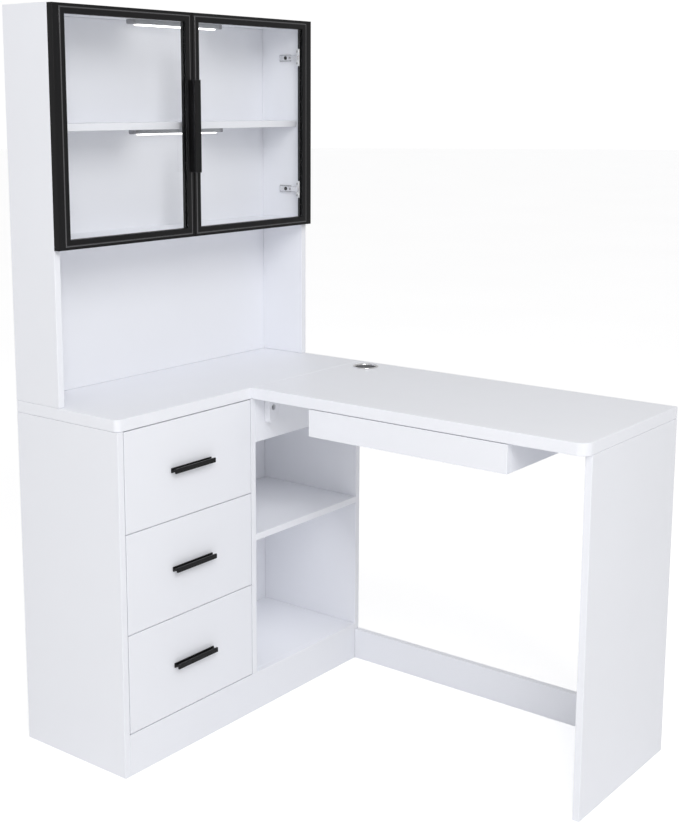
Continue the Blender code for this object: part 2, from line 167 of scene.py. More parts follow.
def slab_rings(low, high, edge, corners):
    """Rings of a slab with rounded plan corners and rounded edges, from its underside to its top.

    Plan angle t and edge angle e: each point is its corner's centre, plus (corner radius - edge radius +
    edge radius times cos e) along (cos t, sin t), plus edge radius times sin e along Z.
    """
    turn = np.radians(np.linspace(0, 90, 2 * ARC_STEPS + 1))
    plan = np.radians([180, 270, 0, 90])[:, None] + turn[None, :]
    signs = np.array([(-1, -1), (1, -1), (1, 1), (-1, 1)], float)
    radii = np.maximum(corners, edge)
    reach = (high[:2] - low[:2]) / 2 - radii[:, None]
    centre = (low[:2] + high[:2]) / 2 + signs * reach
    rise = np.radians(np.linspace(0, 90, ARC_STEPS + 1))
    edge_angle = np.concatenate([-rise[::-1], rise])
    level = np.repeat([low[2] + edge, high[2] - edge], ARC_STEPS + 1) + edge * np.sin(edge_angle)
    out = radii[None, :, None] - edge + edge * np.cos(edge_angle)[:, None, None]
    x = centre[None, :, 0, None] + out * np.cos(plan)[None]
    y = centre[None, :, 1, None] + out * np.sin(plan)[None]
    z = np.broadcast_to(level[:, None, None], x.shape)
    return np.stack([x, y, z], axis=-1).reshape(len(level), -1, 3)


def pierced(name, rings, hole_low, hole_high):
    """A skin whose two caps have a round hole through them: each cap is two faces that meet at the hole.

    They meet along the lines from the hole's first and opposite points to the outline points that lie most
    nearly the same way from its middle.
    """
    rings = np.asarray(rings, float)
    grid, faces = ring_quads(*rings.shape[:2], False)
    start = rings.shape[0] * rings.shape[1]
    count = len(hole_low)
    lower = np.arange(start, start + count)
    upper = lower + count
    faces += np.stack([lower, np.roll(lower, -1), np.roll(upper, -1), upper], axis=-1).tolist()
    halves = (0, count // 2)
    for outline, hole, hole_points in ((grid[0], lower, hole_low), (grid[-1], upper, hole_high)):
        middle = hole_points.mean(axis=0)
        ways = rings.reshape(-1, 3)[outline] - middle
        ways /= np.linalg.norm(ways, axis=1)[:, None]
        nearest = [int(np.argmax(ways @ (hole_points[half] - middle))) for half in halves]
        for first, second in ((0, 1), (1, 0)):
            span = (nearest[second] - nearest[first]) % len(outline) or len(outline)
            outer = outline[(nearest[first] + np.arange(span + 1)) % len(outline)]
            back = (halves[first] - halves[second]) % count
            inner = hole[(halves[second] - np.arange(count - back + 1)) % count]
            faces.append(outer.tolist() + inner.tolist())
    points = np.concatenate([rings.reshape(-1, 3), hole_low, hole_high])
    return mesh_of(name, points, faces)


def on_axis(outline, axis, along):
    """Plan points (the two other axes in XYZ order) placed at one value of the axis."""
    return np.insert(np.asarray(outline, float), "xyz".index(axis), along, axis=1)


def extrusion(name, outline, axis, low, high):
    """A section carried straight along an axis and capped."""
    return skin(name, [on_axis(outline, axis, low), on_axis(outline, axis, high)])


def turned_rings(centre, axis, profile, steps=48, sign=1):
    """Rings of a profile of (radius, height) turned round an axis: each point's angle runs once round."""
    angle = np.linspace(0, 2 * np.pi, steps, endpoint=False)
    profile = np.asarray(profile, float)
    around = profile[:, 0, None, None] * np.stack([np.cos(angle), np.sin(angle)], axis=-1)[None]
    rings = np.insert(around, "xyz".index(axis), sign * profile[:, 1, None], axis=2)
    return rings + np.asarray(centre, float)


# Pieces

def piece(mesh, looks, body, stands_for=(), bevel=0.0, steps=2, even=True):
    """An object for a mesh, with its finishes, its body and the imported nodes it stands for."""
    obj = bpy.data.objects.new(mesh.name, mesh)
    bpy.context.scene.collection.objects.link(obj)
    for look in looks if isinstance(looks, (list, tuple)) else [looks]:
        mesh.materials.append(look)
    if bevel:
        ease = obj.modifiers.new("eased edges", "BEVEL")
        ease.width = bevel
        ease.segments = steps
        ease.limit_method = "ANGLE"
        ease.angle_limit = SHARP
        ease.use_clamp_overlap = True
    if even:
        flat = obj.modifiers.new("even faces", "WEIGHTED_NORMAL")
        flat.keep_sharp = not bevel
    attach(obj, body)
    if stands_for:
        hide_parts(*stands_for)


def banded(mesh, thin):
    """Gives the faces round a board's edge its second finish: those that don't face along its thin axis."""
    normals = np.zeros(3 * len(mesh.polygons))
    mesh.polygons.foreach_get("normal", normals)
    edge = np.abs(normals.reshape(-1, 3)[:, thin]) < 0.99
    mesh.polygons.foreach_set("material_index", edge.astype(np.int32))


def board_piece(name, low, high, body, looks, edge, corners=SQUARE, stands_for=()):
    """A board with rounded edges, laminate on its faces and edge band round it."""
    mesh = skin(name, slab_rings(low, high, edge, corners))
    piece(mesh, looks, body, stands_for)
    banded(mesh, int(np.argmin(high - low)))


def board_for(node_name, looks, edge, corners=SQUARE):
    """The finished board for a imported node."""
    low, high = box(node_name)
    board_piece(f"{node_name}_board", low, high, BODY_OF[node_name], looks, edge, corners,
                (node_name,))


def screw(name, centre, axis, sign, radius, body, look, proud=0.0012):
    """A cross-head screw: a low dome in polar coordinates, less a cross that deepens towards its middle.

    Height is proud times the cosine of a quarter turn over the radius. Where the smaller of |x| and |y| is
    under the slot's half width, and the distance out is under the cross's reach, the recess is taken off.
    """
    rows, columns = 14, 48
    out = np.linspace(0.02, 1.0, rows)[:, None]
    angle = np.linspace(0, 2 * np.pi, columns, endpoint=False)[None]
    x, y = out * np.cos(angle), out * np.sin(angle)
    across = np.minimum(np.abs(x), np.abs(y))
    slot_depth = np.clip((0.17 - across) / 0.06, 0, 1) * np.clip((0.62 - out) / 0.1, 0, 1)
    height = proud * (0.55 + 0.45 * np.cos(out * np.pi / 2)) - 0.9 * proud * slot_depth
    u, v = radius * x, radius * y
    dome = np.stack([u, v, np.broadcast_to(height, u.shape)], axis=-1)
    skirt = dome[-1:].copy()
    skirt[..., 2] = 0.0
    rings = np.concatenate([dome, skirt])
    order = [2, 0, 1] if axis == "x" else [0, 2, 1] if axis == "y" else [0, 1, 2]
    rings[..., 2] *= sign
    mesh = skin(name, rings[..., order] + np.asarray(centre, float))
    piece(mesh, look, body, even=False)


# Finishes

def new_look(name):
    """A material with nodes, its tree and its shader."""
    look = bpy.data.materials.new(name)
    look.use_nodes = True
    tree = look.node_tree
    return look, tree, tree.nodes["Principled BSDF"]


def node(tree, kind, inputs=None, **settings):
    """A node with its settings, each input given a value or linked to a socket."""
    made = tree.nodes.new(kind)
    for key, value in settings.items():
        setattr(made, key, value)
    for key, value in (inputs or {}).items():
        if isinstance(value, bpy.types.NodeSocket):
            tree.links.new(value, made.inputs[key])
        else:
            made.inputs[key].default_value = value
    return made


def grain(tree, scale, detail=2.0, rough=0.5):
    """A noise over the object's own coordinates, as its factor socket."""
    place = node(tree, "ShaderNodeTexCoord").outputs["Object"]
    spots = node(tree, "ShaderNodeTexNoise", {"Vector": place, "Scale": scale, "Detail": detail,
                                              "Roughness": rough})
    return spots.outputs["Fac"]


def spread(tree, factor, low, high):
    """The factor's middle range carried to low and high."""
    made = node(tree, "ShaderNodeMapRange", {"Value": factor, "From Min": 0.3, "From Max": 0.7, "To Min": low,
                                             "To Max": high})
    return made.outputs[0]


def tinted(tree, factor, first, second):
    """A colour between two, by the factor."""
    made = node(tree, "ShaderNodeMix", data_type="RGBA")
    tree.links.new(factor, made.inputs["Factor"])
    made.inputs["A"].default_value = (*first, 1.0)
    made.inputs["B"].default_value = (*second, 1.0)
    return made.outputs["Result"]


def bumped(tree, shader, factor, height, strength):
    """Relief of a height in metres on the shader, from the factor."""
    made = node(tree, "ShaderNodeBump", {"Height": factor, "Distance": height, "Strength": strength})
    tree.links.new(made.outputs[0], shader.inputs["Normal"])


def shade(colour, by):
    """The colour made darker or lighter."""
    return tuple(min(1.0, channel * by) for channel in colour)


def satin_look(name, colour, rough, peel=0.00002, peel_scale=900.0):
    """A white board's face: a faint drift of tone, an uneven sheen and the fine peel of pressed laminate."""
    look, tree, shader = new_look(name)
    drifting = spread(tree, grain(tree, 3.0, 3.0), 0.0, 1.0)
    tree.links.new(tinted(tree, drifting, shade(colour, 0.985), colour), shader.inputs["Base Color"])
    uneven = spread(tree, grain(tree, 14.0, 4.0), rough - 0.05, rough + 0.05)
    tree.links.new(uneven, shader.inputs["Roughness"])
    bumped(tree, shader, grain(tree, peel_scale, 2.0), peel, 0.6)
    return look


def metal_look(name, colour, rough, metallic, scale=1400.0, gloss=0.5):
    """A metal or lacquered surface: fine grain in its colour, its roughness and its relief."""
    look, tree, shader = new_look(name)
    shader.inputs["Metallic"].default_value = metallic
    shader.inputs["Specular IOR Level"].default_value = gloss
    fine = grain(tree, scale, 3.0, 0.6)
    tree.links.new(tinted(tree, spread(tree, fine, 0.0, 1.0), shade(colour, 0.9), shade(colour, 1.08)),
                   shader.inputs["Base Color"])
    worn = spread(tree, grain(tree, 22.0, 4.0), rough * 0.85, rough * 1.2)
    tree.links.new(worn, shader.inputs["Roughness"])
    bumped(tree, shader, fine, 0.000008, 0.5)
    return look


def glass_look(name, tint):
    """A clear pane: a mirror as strong as the angle gives, over what is behind it, with faint streaks."""
    look, tree, shader = new_look(name)
    shader.inputs["Base Color"].default_value = (*tint, 1.0)
    shader.inputs["Metallic"].default_value = 1.0
    tree.links.new(spread(tree, grain(tree, 30.0, 3.0), 0.01, 0.04), shader.inputs["Roughness"])
    facing = node(tree, "ShaderNodeLayerWeight", {"Blend": 0.5}).outputs["Facing"]
    glancing = node(tree, "ShaderNodeMath", {0: facing, 1: 5.0}, operation="POWER").outputs[0]
    strength = node(tree, "ShaderNodeMapRange", {"Value": glancing, "To Min": 0.03, "To Max": 0.9}).outputs[0]
    tree.links.new(strength, shader.inputs["Alpha"])
    return look


def lit_look(name, colour, power):
    """A frosted diffuser, a little brighter over each row of lamps behind it."""
    look, tree, shader = new_look(name)
    shader.inputs["Base Color"].default_value = (*colour, 1.0)
    shader.inputs["Roughness"].default_value = 0.5
    shader.inputs["Emission Strength"].default_value = power
    spots = spread(tree, grain(tree, 60.0, 1.0), 0.0, 1.0)
    tree.links.new(tinted(tree, spots, shade(colour, 0.96), colour), shader.inputs["Emission Color"])
    bumped(tree, shader, grain(tree, 1500.0, 1.0), 0.00002, 0.4)
    return look


LOOKS = {}


def looks_for(settings):
    """Every finish, made once."""
    if not LOOKS:
        white = tuple(settings.laminate_colour)
        black = tuple(settings.frame_colour)
        LOOKS["laminate"] = satin_look("white_laminate", white, settings.laminate_roughness)
        LOOKS["band"] = satin_look("white_edge_band", shade(white, 1.01), settings.laminate_roughness + 0.04,
                                   0.000008, 500.0)
        LOOKS["foil"] = satin_look("drawer_foil", shade(white, 0.95), 0.55, 0.00003, 650.0)
        LOOKS["plastic"] = satin_look("moulded_plastic", shade(white, 0.96), 0.5, 0.00004, 1100.0)
        LOOKS["black"] = metal_look("black_aluminium", black, settings.frame_roughness, 0.0, gloss=0.24)
        # Painted highlight: the ridge gets a lighter metal than the black frame so it reads as a bright line;
        # its reflection is real light, but its lighter colour is painted highlight
        LOOKS["ridge"] = metal_look("ridge_painted_highlight", (0.17, 0.17, 0.175), 0.22, 1.0)
        LOOKS["chrome"] = metal_look("bright_nickel", (0.80, 0.80, 0.81), 0.16, 1.0, scale=300.0)
        LOOKS["cup"] = metal_look("satin_nickel", (0.88, 0.88, 0.885), 0.4, 0.8, scale=300.0)
        # Painted shade: the collar's inner wall is a dark grey metal instead of chrome, standing in for the
        # shade inside the cable hole
        LOOKS["bore"] = metal_look("bore_painted_shade", (0.20, 0.20, 0.21), 0.5, 0.6, scale=300.0)
        # Painted shade: a darker copy of the bright nickel, standing in for the shade on the hinge arm's base
        # plate
        LOOKS["arm"] = metal_look("nickel_painted_shade", (0.50, 0.50, 0.51), 0.22, 1.0, scale=300.0)
        LOOKS["screw"] = metal_look("screw_steel", (0.42, 0.42, 0.43), 0.34, 1.0)
        LOOKS["dark_screw"] = metal_look("dark_screw_steel", (0.03, 0.03, 0.032), 0.4, 1.0)
        LOOKS["zinc"] = metal_look("zinc_steel", (0.55, 0.56, 0.58), 0.32, 1.0, scale=160.0)
        LOOKS["lamp"] = metal_look("lamp_body", (0.44, 0.45, 0.47), 0.38, 0.5)
        LOOKS["cap"] = metal_look("lamp_end_cap", (0.30, 0.30, 0.32), 0.5, 0.0)
        LOOKS["glass"] = glass_look("clear_glass", (0.93, 0.97, 0.96))
        LOOKS["glow"] = lit_look("lamp_diffuser", (1.0, 0.995, 0.98), settings.lamp_power)
    return LOOKS


# Settings

class FinishSettings(bpy.types.PropertyGroup):
    """Colours, sheen and brightness"""

    laminate_colour: bpy.props.FloatVectorProperty(
        name="Laminate colour", description="Colour of the white boards", subtype="COLOR", size=3,
        min=0.0, max=1.0, default=(0.905, 0.917, 0.962))
    laminate_roughness: bpy.props.FloatProperty(
        name="Laminate roughness", description="How matt the white boards are", default=0.42, min=0.0, max=1.0,
        subtype="FACTOR")
    frame_colour: bpy.props.FloatVectorProperty(
        name="Frame colour", description="Colour of the door frames and the handles", subtype="COLOR", size=3,
        min=0.0, max=1.0, default=(0.005, 0.005, 0.0056))
    frame_roughness: bpy.props.FloatProperty(
        name="Frame roughness", description="How matt the black metal is", default=0.36, min=0.0, max=1.0,
        subtype="FACTOR")
    lamp_power: bpy.props.FloatProperty(
        name="Lamp power", description="Brightness of the lamps' diffusers", default=3.6, min=0.0)


class BoardSettings(bpy.types.PropertyGroup):
    """Rounding of the boards"""

    panel_edge: bpy.props.FloatProperty(
        name="Panel edge", description="Radius on the edges of the thin boards", default=0.0009, unit="LENGTH")
    top_edge: bpy.props.FloatProperty(
        name="Top edge", description="Radius on the edges of the two thick tops", default=0.0016, unit="LENGTH")
    cabinet_corner: bpy.props.FloatProperty(
        name="Cabinet corner", description="Plan radius of the cabinet top's free corner", default=0.012,
        unit="LENGTH")
    desk_corner: bpy.props.FloatProperty(
        name="Desk corner", description="Plan radius of the desktop's free corner", default=0.024,
        unit="LENGTH")


class DoorSettings(bpy.types.PropertyGroup):
    """Section of the door frames"""

    ridge_from_opening: bpy.props.FloatProperty(
        name="Ridge place", description="From the glass opening to the ridge's middle", default=0.0125,
        unit="LENGTH")
    ridge_radius: bpy.props.FloatProperty(
        name="Ridge radius", description="Radius of the half-round ridge", default=0.0011, unit="LENGTH")
    inner_slope: bpy.props.FloatProperty(
        name="Inner slope", description="How far the inner band falls back towards the glass", default=0.0003,
        unit="LENGTH")
    pane_seat: bpy.props.FloatProperty(
        name="Pane seat", description="How far the pane reaches into the frame's groove", default=0.0035,
        unit="LENGTH")


class StageSettings(bpy.types.PropertyGroup):
    """Camera, surroundings and lights"""

    camera_place: bpy.props.FloatVectorProperty(
        name="Camera place", description="Where the camera stands", subtype="XYZ", size=3, unit="LENGTH",
        default=(-2.1621, -1.6196, 1.3554))
    camera_turn: bpy.props.FloatProperty(
        name="Camera turn", description="Turn from +Y towards +X", subtype="ANGLE",
        default=float(np.radians(51.442)))
    camera_tilt: bpy.props.FloatProperty(
        name="Camera tilt", description="Tilt below the horizon", subtype="ANGLE",
        default=float(np.radians(9.867)))
    lens: bpy.props.FloatProperty(
        name="Lens", description="Focal length in millimetres, for a sensor 36 mm on its long side",
        default=58.69)
    shift: bpy.props.FloatVectorProperty(
        name="Shift", description="Lens shift, in shares of the picture's long side", size=2,
        default=(0.0428, -0.0896))
    backdrop: bpy.props.FloatProperty(
        name="Backdrop", description="Brightness of the surroundings as the camera sees them", default=1.02)
    ambient: bpy.props.FloatProperty(
        name="Ambient", description="Brightness of the surroundings as light", default=0.57)
    side_power: bpy.props.FloatProperty(
        name="Side power", description="Power of the soft light on the left, in watts", default=9.0)
    high_power: bpy.props.FloatProperty(
        name="High power", description="Power of the high light before the corner, in watts", default=72.0)
    bay_power: bpy.props.FloatProperty(
        name="Bay power", description="Power of each small fill before the open compartment, in watts",
        default=0.13)
    floor_glow: bpy.props.FloatProperty(
        name="Floor glow", description="Light that the floor adds, as the camera sees it", default=0.45)


# Operators

def boards(nodes, settings, looks):
    """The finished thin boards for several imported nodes."""
    for name in nodes:
        board_for(name, [looks["laminate"], looks["band"]], settings.panel_edge)


class CORNERDESK_OT_cabinet(bpy.types.Operator):
    """Boards of the base cabinet"""

    bl_idname = "corner_desk.cabinet"
    bl_label = "Cabinet boards"

    def execute(self, context):
        looks = looks_for(context.scene.desk_finish)
        sizes = context.scene.desk_boards
        boards(("base_left_panel", "base_right_panel", "base_divider", "base_bottom", "base_plinth",
                "base_back", "base_shelf", "base_rail"), sizes, looks)
        board_for("base_top", [looks["laminate"], looks["band"]], sizes.top_edge,
                  (sizes.cabinet_corner, 0, 0, 0))
        return {"FINISHED"}


class CORNERDESK_OT_desk(bpy.types.Operator):
    """Desktop with its cable hole, end panel, stretcher and the chrome collar in the hole"""

    bl_idname = "corner_desk.desk"
    bl_label = "Desk"

    def execute(self, context):
        looks = looks_for(context.scene.desk_finish)
        sizes = context.scene.desk_boards
        boards(("leg_panel", "stretcher"), sizes, looks)
        low, high = box("desktop")
        collar_low, collar_high = box("grommet_ring")
        centre = (collar_low + collar_high) / 2
        flange = (collar_high[0] - collar_low[0]) / 2
        sleeve = flange - COLLAR_RIM
        around = arc(centre[:2], (sleeve + HAIRLINE,) * 2, 45, 405, COLLAR_STEPS)[:-1]
        rings = slab_rings(low, high, sizes.top_edge, (sizes.desk_corner, 0, 0, 0))
        ends = [on_axis(around, "z", level) for level in (low[2], high[2])]
        mesh = pierced("desktop_board", rings, *ends)
        piece(mesh, [looks["laminate"], looks["band"]], CARCASS, ("desktop",))
        banded(mesh, 2)

        top = high[2] + HAIRLINE
        rim = collar_high[2] - top
        bore = sleeve - COLLAR_WALL
        profile = np.concatenate([
            [(bore, collar_low[2] - top)],
            [(bore, -0.001)],
            arc((bore + 0.0025, -0.001), (0.0025, rim + 0.001), 180, 90, 6)[1:],
            arc((flange - 0.0016, 0.0002), (0.0016, rim - 0.0002), 90, 0, 6),
            [(flange, 0.0), (sleeve, 0.0), (sleeve, collar_low[2] - top)],
        ])
        turned = turned_rings((centre[0], centre[1], top), "z", profile, COLLAR_STEPS)
        ring = skin("grommet_collar", turned, True)
        # Painted shade: the collar's inside faces take the dark bore finish, which paints the shade in the hole
        piece(ring, [looks["chrome"], looks["bore"]], CARCASS, ("grommet_ring",))
        inside = np.arange(len(ring.polygons)) < COLLAR_STEPS
        ring.polygons.foreach_set("material_index", inside.astype(np.int32))
        return {"FINISHED"}


class CORNERDESK_OT_corner_block(bpy.types.Operator):
    """Corner block under the desktop, with its screw"""

    bl_idname = "corner_desk.corner_block"
    bl_label = "Corner block"

    def execute(self, context):
        looks = looks_for(context.scene.desk_finish)
        low, high = box("rail_bracket")
        small = BLOCK_SMALL_RADIUS
        side, floor = low[0], low[2]
        sweep = (high[0] - side - small, high[2] - floor - BLOCK_STRAIGHT)
        outline = np.concatenate([
            [(side, high[2])],
            arc((side + small, floor + small), (small, small), 180, 270, 6),
            arc((side + small, floor + sweep[1]), sweep, 270, 360, 12)[1:],
            [(high[0], high[2])],
        ])
        hole = (side + BLOCK_HOLE_FROM_SIDE, high[2] - BLOCK_HOLE_FROM_TOP)
        around = arc(hole, (BLOCK_HOLE, BLOCK_HOLE), 0, 360, 32)[:-1]
        rings, ends = ([on_axis(points, "y", level) for level in (low[1], high[1])]
                       for points in (outline, around))
        mesh = pierced("rail_block", rings, *ends)
        piece(mesh, looks["plastic"], CARCASS, ("rail_bracket",), bevel=0.0008)
        screw("rail_block_screw", (hole[0], low[1] + BLOCK_SCREW_DEPTH, hole[1]), "y", -1, BLOCK_SCREW, CARCASS,
              looks["screw"])
        return {"FINISHED"}


class CORNERDESK_OT_hutch(bpy.types.Operator):
    """Boards of the hutch"""

    bl_idname = "corner_desk.hutch"
    bl_label = "Hutch boards"

    def execute(self, context):
        looks = looks_for(context.scene.desk_finish)
        boards(("hutch_left_panel", "hutch_right_panel", "hutch_top", "hutch_back", "cupboard_bottom",
                "hutch_shelf"), context.scene.desk_boards, looks)
        return {"FINISHED"}


def bar_section(width, reach):
    """Section of a bar handle: base flange, web and front flange, as (across, out) points."""
    half, neck = width / 2, reach - BAR_FRONT
    right = [(half, 0.0), (half, BAR_BASE), (BAR_HALF_WEB, BAR_BASE), (BAR_HALF_WEB, neck), (half, neck),
             (half, reach)]
    return np.array(right + [(-u, v) for u, v in reversed(right)])


def bar_handle(node_name, look):
    """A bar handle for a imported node, its section across the shorter of its height and width."""
    low, high = box(node_name)
    upright = high[2] - low[2] > high[0] - low[0]
    across = 0 if upright else 2
    middle = (low[across] + high[across]) / 2
    section = bar_section(high[across] - low[across], high[1] - low[1])
    if upright:
        outline = np.stack([middle + section[:, 0], high[1] - section[:, 1]], axis=-1)
        mesh = extrusion(f"{node_name}_bar", outline, "z", low[2], high[2])
    else:
        outline = np.stack([high[1] - section[:, 1], middle + section[:, 0]], axis=-1)
        mesh = extrusion(f"{node_name}_bar", outline, "x", low[0], high[0])
    piece(mesh, look, BODY_OF[node_name], (node_name,), bevel=0.0005)


def channel_piece(node_name, look, opens):
    """The C section of a runner carried along it. opens is +1 or -1, the side that its mouth faces."""
    low, high = box(node_name)
    along = 1 if high[1] - low[1] > high[0] - low[0] else 0
    across = 1 - along
    wall, lip = RUNNER_WALL, RUNNER_LIP
    width, half = high[across] - low[across], (high[2] - low[2]) / 2
    upper = [(0, half), (width, half), (width, half - lip), (width - wall, half - lip)]
    upper += [(width - wall, half - wall), (wall, half - wall)]
    section = np.array(upper + [(u, -v) for u, v in reversed(upper)])
    back_at = low[across] if opens > 0 else high[across]
    outline = np.stack([back_at + opens * section[:, 0], (low[2] + high[2]) / 2 + section[:, 1]], axis=-1)
    mesh = extrusion(f"{node_name}_channel", outline, "xy"[along], low[along], high[along])
    piece(mesh, look, CARCASS, (node_name,), bevel=0.0003)


def rail_piece(name, node_name, look, opens, body):
    """The inner rail in a runner's channel, a flat bar with rounded edges fixed to the drawer's side."""
    low, high = box(node_name)
    if opens > 0:
        low[0], high[0] = low[0] + RAIL_FROM_WALL, high[0] + HAIRLINE
    else:
        low[0], high[0] = low[0] - HAIRLINE, high[0] - RAIL_FROM_WALL
    middle = (low[2] + high[2]) / 2
    low[2], high[2] = middle - RAIL_HALF_HEIGHT, middle + RAIL_HALF_HEIGHT
    mesh = skin(name, slab_rings(low, high, 0.001, SQUARE))
    piece(mesh, look, body)


class CORNERDESK_OT_drawers(bpy.types.Operator):
    """The three cabinet drawers, with their boxes, handles and runners"""

    bl_idname = "corner_desk.drawers"
    bl_label = "Cabinet drawers"

    def execute(self, context):
        looks = looks_for(context.scene.desk_finish)
        edge = context.scene.desk_boards.panel_edge
        for number in (1, 2, 3):
            body = f"drawer_{number}"
            board_for(f"{body}_front", [looks["laminate"], looks["band"]], edge)
            drawer_box(body, f"{body}_box", looks["foil"], 1)
            board_for(f"{body}_bottom", [looks["foil"], looks["foil"]], BOTTOM_EDGE)
            bar_handle(f"{body}_handle", looks["black"])
            for side, opens in (("left", 1), ("right", -1)):
                runner = f"runner_{number}_{side}"
                channel_piece(runner, looks["zinc"], opens)
                rail_piece(f"{body}_rail_{side}", runner, looks["zinc"], opens, body)
        return {"FINISHED"}


def drawer_box(body, node_name, look, along, back_height=None):
    """Two side boards and a back between them, for a packed box that opens towards the low end of an axis."""
    low, high = box(node_name)
    across = 1 - along
    lows = {name: low.copy() for name in ("side_low", "side_high", "back")}
    highs = {name: high.copy() for name in lows}
    highs["side_low"][across] = low[across] + BOX_BOARD
    lows["side_high"][across] = high[across] - BOX_BOARD
    lows["back"][across] += BOX_BOARD + HAIRLINE / 3
    highs["back"][across] -= BOX_BOARD + HAIRLINE / 3
    lows["back"][along] = high[along] - BOX_BOARD
    if back_height:
        highs["back"][2] = low[2] + back_height
    for name in lows:
        board_piece(f"{node_name}_{name}", lows[name], highs[name], body, [look, look],
                    BOX_EDGE, stands_for=(node_name,))


class CORNERDESK_OT_pencil_drawer(bpy.types.Operator):
    """The shallow drawer under the desktop, with its runners"""

    bl_idname = "corner_desk.pencil_drawer"
    bl_label = "Pencil drawer"

    def execute(self, context):
        looks = looks_for(context.scene.desk_finish)
        edge = context.scene.desk_boards.panel_edge
        board_for("pencil_front", [looks["laminate"], looks["band"]], edge)
        drawer_box("pencil_drawer", "pencil_box", looks["laminate"], 0, PENCIL_BACK_HEIGHT)
        board_for("pencil_bottom", [looks["foil"], looks["foil"]], BOTTOM_EDGE)
        for side, opens in (("near", 1), ("far", -1)):
            channel_piece(f"pencil_runner_{side}", looks["zinc"], opens)
        return {"FINISHED"}


def door_rings(outer, opening, front, back, pane_front, pane_back, sizes):
    """Rings of a door frame's section carried round its rectangle and mitred, and the ridge's first and last.

    Each ring is a rectangle. A place in the section is either so far in from the frame's outer edges, or so
    far out from the glass opening, so the ridge keeps one distance from the glass all the way round.
    """
    ridge, radius = sizes.ridge_from_opening, sizes.ridge_radius
    fall = sizes.inner_slope
    step = 0.0006
    turn = 0.0005
    round_out = arc((0.001, front + 0.001), (0.001, 0.001), 180, 270, 4)
    rows = [("outer", inset, depth) for inset, depth in round_out]
    rows.append(("opening", ridge + radius + 0.0012, front))
    rows.append(("opening", ridge + radius + 0.0006, front + 0.0004))
    rows.append(("opening", ridge + radius, front + step))
    crest = arc((0.0, front + step), (radius, step), 0, -180, 8)
    crest_rows = (len(rows), len(rows) + len(crest) - 1)
    rows += [("opening", ridge + out, depth) for out, depth in crest]
    rows.append(("opening", ridge - radius - 0.0006, front + 0.0001))
    rows += [("opening", out, depth) for out, depth in
             arc((turn, front + fall + turn), (turn, turn), -90, -180, 4)]
    seat = sizes.pane_seat + HAIRLINE
    rows += [("opening", 0.0, pane_front - HAIRLINE), ("opening", seat, pane_front - HAIRLINE)]
    rows += [("opening", seat, pane_back + HAIRLINE), ("opening", 0.0, pane_back + HAIRLINE)]
    rows += [("opening", 0.0, back - 0.0003), ("opening", 0.0003, back)]
    rows += [("outer", 0.0008, back), ("outer", 0.0, back - 0.0008)]
    signs = np.array([(-1, -1), (1, -1), (1, 1), (-1, 1)], float)
    rings = []
    for place, distance, depth in rows:
        sides = outer if place == "outer" else opening
        grow = -distance if place == "outer" else distance
        centre = np.array([sides[0] + sides[1], sides[2] + sides[3]]) / 2
        half = np.array([sides[1] - sides[0], sides[3] - sides[2]]) / 2 + grow
        rings.append(on_axis(centre + signs * half, "y", depth))
    return rings, crest_rows


class CORNERDESK_OT_doors(bpy.types.Operator):
    """The two glass doors, with their frames, panes and handle"""

    bl_idname = "corner_desk.doors"
    bl_label = "Glass doors"

    def execute(self, context):
        looks = looks_for(context.scene.desk_finish)
        sizes = context.scene.desk_doors
        for side in ("left", "right"):
            body = f"{side}_door"
            low, high = box(f"door_{side}_frame")
            pane_low, pane_high = box(f"door_{side}_glass")
            seat = sizes.pane_seat
            outer = (low[0], high[0], low[2], high[2])
            opening = (pane_low[0] + seat, pane_high[0] - seat, pane_low[2] + seat, pane_high[2] - seat)
            rings, crest = door_rings(outer, opening, low[1], high[1], pane_low[1], pane_high[1], sizes)
            mesh = skin(f"door_{side}_frame_section", rings, True)
            piece(mesh, [looks["black"], looks["ridge"]], body,
                  (f"door_{side}_frame",))
            # Painted highlight: the ridge's rows take the lighter metal finish, which stands in for the
            # highlight along the ridge
            rows = np.arange(len(mesh.polygons)) // 4
            painted_highlight_rows = (rows >= crest[0]) & (rows < crest[1])
            mesh.polygons.foreach_set("material_index", painted_highlight_rows.astype(np.int32))
            pane = skin(f"door_{side}_pane", slab_rings(pane_low, pane_high, 0.0004, SQUARE))
            piece(pane, looks["glass"], body, (f"door_{side}_glass",))
        bar_handle("door_left_handle", looks["black"])
        return {"FINISHED"}


class CORNERDESK_OT_hinges(bpy.types.Operator):
    """Concealed hinges: an arm and plate on each side panel, a cup plate on each hinge stile"""

    bl_idname = "corner_desk.hinges"
    bl_label = "Hinges"

    def execute(self, context):
        looks = looks_for(context.scene.desk_finish)
        for side in ("left", "right"):
            for level in ("lower", "upper"):
                hinge_arm(side, level, looks)
                hinge_cup(side, level, looks)
        return {"FINISHED"}


